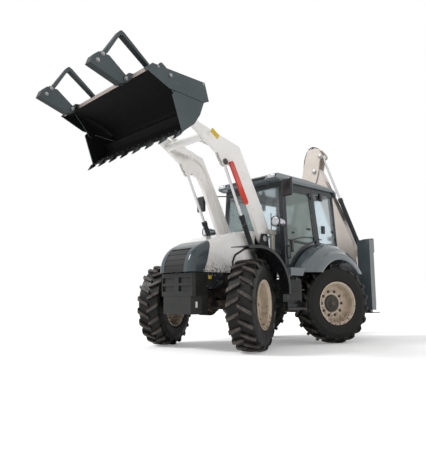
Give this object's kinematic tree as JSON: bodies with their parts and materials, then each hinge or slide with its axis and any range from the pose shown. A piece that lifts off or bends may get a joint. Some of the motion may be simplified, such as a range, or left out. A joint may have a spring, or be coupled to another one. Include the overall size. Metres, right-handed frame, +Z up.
{
  "type": "backhoe loader",
  "caption": "Backhoe loader on equal steered wheels, with a clam loading bucket carrying flip-over forks, a glazed cab, drop-leg stabilisers and a side-shifting backhoe.",
  "frame": {"origin": "on the ground under the middle of the machine's overall length and width", "axes": "+X forward along the machine, +Y to its left, +Z up"},
  "size_m": [6.6622, 2.8614, 4.405],
  "materials": {
    "black_moulding": "black moulded plastic",
    "body_grey": "glossy blue-grey paint",
    "cab_glass": "lightly tinted glass",
    "charcoal": "satin charcoal paint",
    "chrome_rod": "polished chrome",
    "frame_grey": "satin dark grey paint",
    "red_paint": "red paint",
    "rim_cream": "cream paint with dried mud",
    "tyre": "black rubber",
    "white_paint": "glossy white paint"
  },
  "bodies": {
    "machine": {"chassis": "frame_grey", "axles": "frame_grey", "counterweight": "charcoal", "engine": "frame_grey", "front_fenders": "black_moulding", "rear_fenders": "body_grey", "cab_frame": "body_grey", "cab_roof": "body_grey", "cab_glass": "cab_glass", "cab_interior": "black_moulding", "side_tanks": "charcoal", "lamps_mirrors": "black_moulding", "rear_frame": "body_grey"},
    "bonnet": {"hood": "white_paint", "nose": "body_grey"},
    "left_door": {"door_left": "black_moulding", "door_glass_left": "cab_glass"},
    "right_door": {"door_right": "black_moulding", "door_glass_right": "cab_glass"},
    "arms": {"loader_arms": "white_paint", "safety_strut": "red_paint"},
    "lift_ram_barrels": {"lift_barrels": "body_grey"},
    "lift_ram_rods": {"lift_rods": "chrome_rod"},
    "tilt_ram_barrels": {"tilt_barrels": "body_grey"},
    "tilt_ram_rods": {"tilt_rods": "chrome_rod"},
    "bucket_rear": {"mouldboard": "body_grey"},
    "bucket_clam": {"clam": "body_grey"},
    "clam_ram_barrels": {"clam_barrels": "body_grey"},
    "clam_ram_rods": {"clam_rods": "chrome_rod"},
    "fork_arms": {"fork_brackets": "body_grey"},
    "forks": {"fork_tines": "charcoal"},
    "shift_carriage": {"carriage": "charcoal"},
    "slew_post": {"kingpost": "charcoal"},
    "hoe_boom": {"boom": "white_paint"},
    "hoe_dipper": {"dipper": "white_paint"},
    "digging_bucket": {"hoe_bucket": "charcoal"},
    "boom_barrel": {"boom_ram_barrel": "body_grey"},
    "boom_rod": {"boom_ram_rod": "chrome_rod"},
    "crowd_barrel": {"crowd_ram_barrel": "body_grey"},
    "crowd_rod": {"crowd_ram_rod": "chrome_rod"},
    "curl_barrel": {"curl_ram_barrel": "body_grey"},
    "curl_rod": {"curl_ram_rod": "chrome_rod"},
    "tipping": {"tipping_links": "charcoal"},
    "bucket_rods": {"bucket_link": "charcoal"},
    "left_stabiliser": {"stabiliser_left": "body_grey"},
    "right_stabiliser": {"stabiliser_right": "body_grey"},
    "front_left_knuckle": {"knuckle_front_left": "frame_grey"},
    "front_left_wheel": {"rim_front_left": "rim_cream", "tyre_front_left": "tyre"},
    "front_right_knuckle": {"knuckle_front_right": "frame_grey"},
    "front_right_wheel": {"rim_front_right": "rim_cream", "tyre_front_right": "tyre"},
    "rear_left_knuckle": {"knuckle_rear_left": "frame_grey"},
    "rear_left_wheel": {"rim_rear_left": "rim_cream", "tyre_rear_left": "tyre"},
    "rear_right_knuckle": {"knuckle_rear_right": "frame_grey"},
    "rear_right_wheel": {"rim_rear_right": "rim_cream", "tyre_rear_right": "tyre"}
  },
  "joints": [
    {"name": "front_left_steer", "type": "hinge", "parent": "machine", "child": "front_left_knuckle", "pos_m": [0.66, 0.8, 0.7], "axis": [0, 0, 1], "range_deg": [-50, 0]},
    {"name": "front_left_spin", "type": "hinge", "parent": "front_left_knuckle", "child": "front_left_wheel", "pos_m": [0.5797, 0.9722, 0.7], "axis": [-0.4226, 0.9063, 0], "continuous": true},
    {"name": "front_right_steer", "type": "hinge", "parent": "machine", "child": "front_right_knuckle", "pos_m": [0.66, -0.8, 0.7], "axis": [0, 0, 1], "range_deg": [-50, 0]},
    {"name": "front_right_spin", "type": "hinge", "parent": "front_right_knuckle", "child": "front_right_wheel", "pos_m": [0.7403, -0.9722, 0.7], "axis": [-0.4226, 0.9063, 0], "continuous": true},
    {"name": "rear_left_steer", "type": "hinge", "parent": "machine", "child": "rear_left_knuckle", "pos_m": [-1.56, 0.8, 0.7], "axis": [0, 0, 1], "range_deg": [0, 38]},
    {"name": "rear_left_spin", "type": "hinge", "parent": "rear_left_knuckle", "child": "rear_left_wheel", "pos_m": [-1.49814, 0.97965, 0.7], "axis": [0.3256, 0.9455, 0], "continuous": true},
    {"name": "rear_right_steer", "type": "hinge", "parent": "machine", "child": "rear_right_knuckle", "pos_m": [-1.56, -0.8, 0.7], "axis": [0, 0, 1], "range_deg": [0, 38]},
    {"name": "rear_right_spin", "type": "hinge", "parent": "rear_right_knuckle", "child": "rear_right_wheel", "pos_m": [-1.62186, -0.97965, 0.7], "axis": [0.3256, 0.9455, 0], "continuous": true},
    {"name": "bonnet_lift", "type": "hinge", "parent": "machine", "child": "bonnet", "pos_m": [-0.36, 0, 1.94], "axis": [0, 1, 0], "range_deg": [-45, 0]},
    {"name": "left_door_swing", "type": "hinge", "parent": "machine", "child": "left_door", "pos_m": [-1.403, 0.76911, 1.9], "axis": [0.077, -0.0556, 0.9955], "range_deg": [0, 80]},
    {"name": "right_door_swing", "type": "hinge", "parent": "machine", "child": "right_door", "pos_m": [-1.403, -0.76911, 1.9], "axis": [0.077, 0.0556, 0.9955], "range_deg": [-80, 0]},
    {"name": "loader_lift", "type": "hinge", "parent": "machine", "child": "arms", "pos_m": [-0.23, 0, 1.82], "axis": [0, 1, 0], "range_deg": [0, 82]},
    {"name": "lift_ram_barrel_swing", "type": "hinge", "parent": "machine", "child": "lift_ram_barrels", "pos_m": [-0.26, 0, 1.05], "axis": [0, -1, 0], "range_deg": [-62, 0]},
    {"name": "lift_ram_rod_travel", "type": "slide", "parent": "lift_ram_barrels", "child": "lift_ram_rods", "axis": [0.4265, 0, 0.9045], "range_m": [-0.7665, 0]},
    {"name": "bucket_tilt", "type": "hinge", "parent": "arms", "child": "bucket_rear", "pos_m": [1.61, 0, 3.715], "axis": [0, -1, 0], "range_deg": [0, 126]},
    {"name": "tilt_ram_barrel_swing", "type": "hinge", "parent": "arms", "child": "tilt_ram_barrels", "pos_m": [0.68, 0, 3.33], "axis": [0, -1, 0], "range_deg": [0, 12]},
    {"name": "tilt_ram_rod_travel", "type": "slide", "parent": "tilt_ram_barrels", "child": "tilt_ram_rods", "axis": [0.8646, 0, 0.5025], "range_m": [-0.5404, 0]},
    {"name": "clam_open", "type": "hinge", "parent": "bucket_rear", "child": "bucket_clam", "pos_m": [2.36954, 0, 3.77883], "axis": [0, 1, 0], "range_deg": [-80, 0]},
    {"name": "clam_ram_barrel_swing", "type": "hinge", "parent": "bucket_rear", "child": "clam_ram_barrels", "pos_m": [1.77157, 0, 3.82855], "axis": [0, -1, 0], "range_deg": [0, 10]},
    {"name": "clam_ram_rod_travel", "type": "slide", "parent": "clam_ram_barrels", "child": "clam_ram_rods", "axis": [0.9967, 0, 0.081], "range_m": [-0.2001, 0]},
    {"name": "fork_flip", "type": "hinge", "parent": "bucket_rear", "child": "fork_arms", "pos_m": [2.82197, 0, 3.72183], "axis": [0, 1, 0], "range_deg": [0, 130]},
    {"name": "fork_unfold", "type": "hinge", "parent": "fork_arms", "child": "forks", "pos_m": [3.17549, 0, 3.96334], "axis": [0, 1, 0], "range_deg": [0, 125]},
    {"name": "hoe_shift", "type": "slide", "parent": "machine", "child": "shift_carriage", "axis": [0, 1, 0], "range_m": [-1.27, 0]},
    {"name": "hoe_slew", "type": "hinge", "parent": "shift_carriage", "child": "slew_post", "pos_m": [-3.08, 0.68, 0.915], "axis": [0, 0, 1], "range_deg": [-180, 0]},
    {"name": "boom_lower", "type": "hinge", "parent": "slew_post", "child": "hoe_boom", "pos_m": [-3.08, 0.45, 1], "axis": [1, 0, 0], "range_deg": [0, 40]},
    {"name": "boom_ram_barrel_swing", "type": "hinge", "parent": "slew_post", "child": "boom_barrel", "pos_m": [-3.08, 0.31, 0.7], "axis": [-1, 0, 0], "range_deg": [-36, 0]},
    {"name": "boom_ram_rod_travel", "type": "slide", "parent": "boom_barrel", "child": "boom_rod", "axis": [0, -0.2326, 0.9726], "range_m": [-0.1804, 0]},
    {"name": "dipper_out", "type": "hinge", "parent": "hoe_boom", "child": "hoe_dipper", "pos_m": [-3.08, -0.33, 3.62], "axis": [-1, 0, 0], "range_deg": [0, 100]},
    {"name": "crowd_ram_barrel_swing", "type": "hinge", "parent": "hoe_boom", "child": "crowd_barrel", "pos_m": [-3.08, 0.7, 1.75], "axis": [-1, 0, 0], "range_deg": [0, 2]},
    {"name": "crowd_ram_rod_travel", "type": "slide", "parent": "crowd_barrel", "child": "crowd_rod", "axis": [0, -0.3641, 0.9314], "range_m": [-0.5864, 0]},
    {"name": "hoe_bucket_open", "type": "hinge", "parent": "hoe_dipper", "child": "digging_bucket", "pos_m": [-3.08, -1.12, 1.45], "axis": [-1, 0, 0], "range_deg": [0, 100]},
    {"name": "tipping_swing", "type": "hinge", "parent": "hoe_dipper", "child": "tipping", "pos_m": [-3.08, -1.02, 1.76], "axis": [-1, 0, 0], "range_deg": [0, 75]},
    {"name": "bucket_link_swing", "type": "hinge", "parent": "tipping", "child": "bucket_rods", "pos_m": [-3.08, -1.345, 1.749], "axis": [-1, 0, 0], "range_deg": [-66, 0]},
    {"name": "curl_ram_barrel_swing", "type": "hinge", "parent": "hoe_dipper", "child": "curl_barrel", "pos_m": [-3.08, -0.8, 3.33], "axis": [-1, 0, 0], "range_deg": [-4, 0]},
    {"name": "curl_ram_rod_travel", "type": "slide", "parent": "curl_barrel", "child": "curl_rod", "axis": [0, -0.3259, -0.9454], "range_m": [-0.3893, 0]},
    {"name": "left_stabiliser_drop", "type": "slide", "parent": "machine", "child": "left_stabiliser", "axis": [0, 0, -1], "range_m": [0, 0.5]},
    {"name": "right_stabiliser_drop", "type": "slide", "parent": "machine", "child": "right_stabiliser", "axis": [0, 0, -1], "range_m": [0, 0.5]}
  ],
  "couplings": [
    {"joint": "front_right_steer", "follows": "front_left_steer", "ratio": 1},
    {"joint": "rear_right_steer", "follows": "rear_left_steer", "ratio": 1},
    {"joint": "lift_ram_barrel_swing", "follows": "loader_lift", "ratio": -0.73311},
    {"joint": "lift_ram_rod_travel", "follows": "loader_lift", "m_per_rad": -0.53486},
    {"joint": "tilt_ram_barrel_swing", "follows": "bucket_tilt", "ratio": 0.08271},
    {"joint": "tilt_ram_rod_travel", "follows": "bucket_tilt", "m_per_rad": -0.24526},
    {"joint": "clam_ram_barrel_swing", "follows": "clam_open", "ratio": -0.11124},
    {"joint": "clam_ram_rod_travel", "follows": "clam_open", "m_per_rad": 0.14257},
    {"joint": "boom_ram_barrel_swing", "follows": "boom_lower", "ratio": -0.85032},
    {"joint": "boom_ram_rod_travel", "follows": "boom_lower", "m_per_rad": -0.25692},
    {"joint": "crowd_ram_barrel_swing", "follows": "dipper_out", "ratio": 0.00869},
    {"joint": "crowd_ram_rod_travel", "follows": "dipper_out", "m_per_rad": -0.33542},
    {"joint": "tipping_swing", "follows": "hoe_bucket_open", "ratio": 0.73078},
    {"joint": "bucket_link_swing", "follows": "hoe_bucket_open", "ratio": -0.64683},
    {"joint": "curl_ram_barrel_swing", "follows": "hoe_bucket_open", "ratio": -0.0211},
    {"joint": "curl_ram_rod_travel", "follows": "hoe_bucket_open", "m_per_rad": -0.22247}
  ]
}
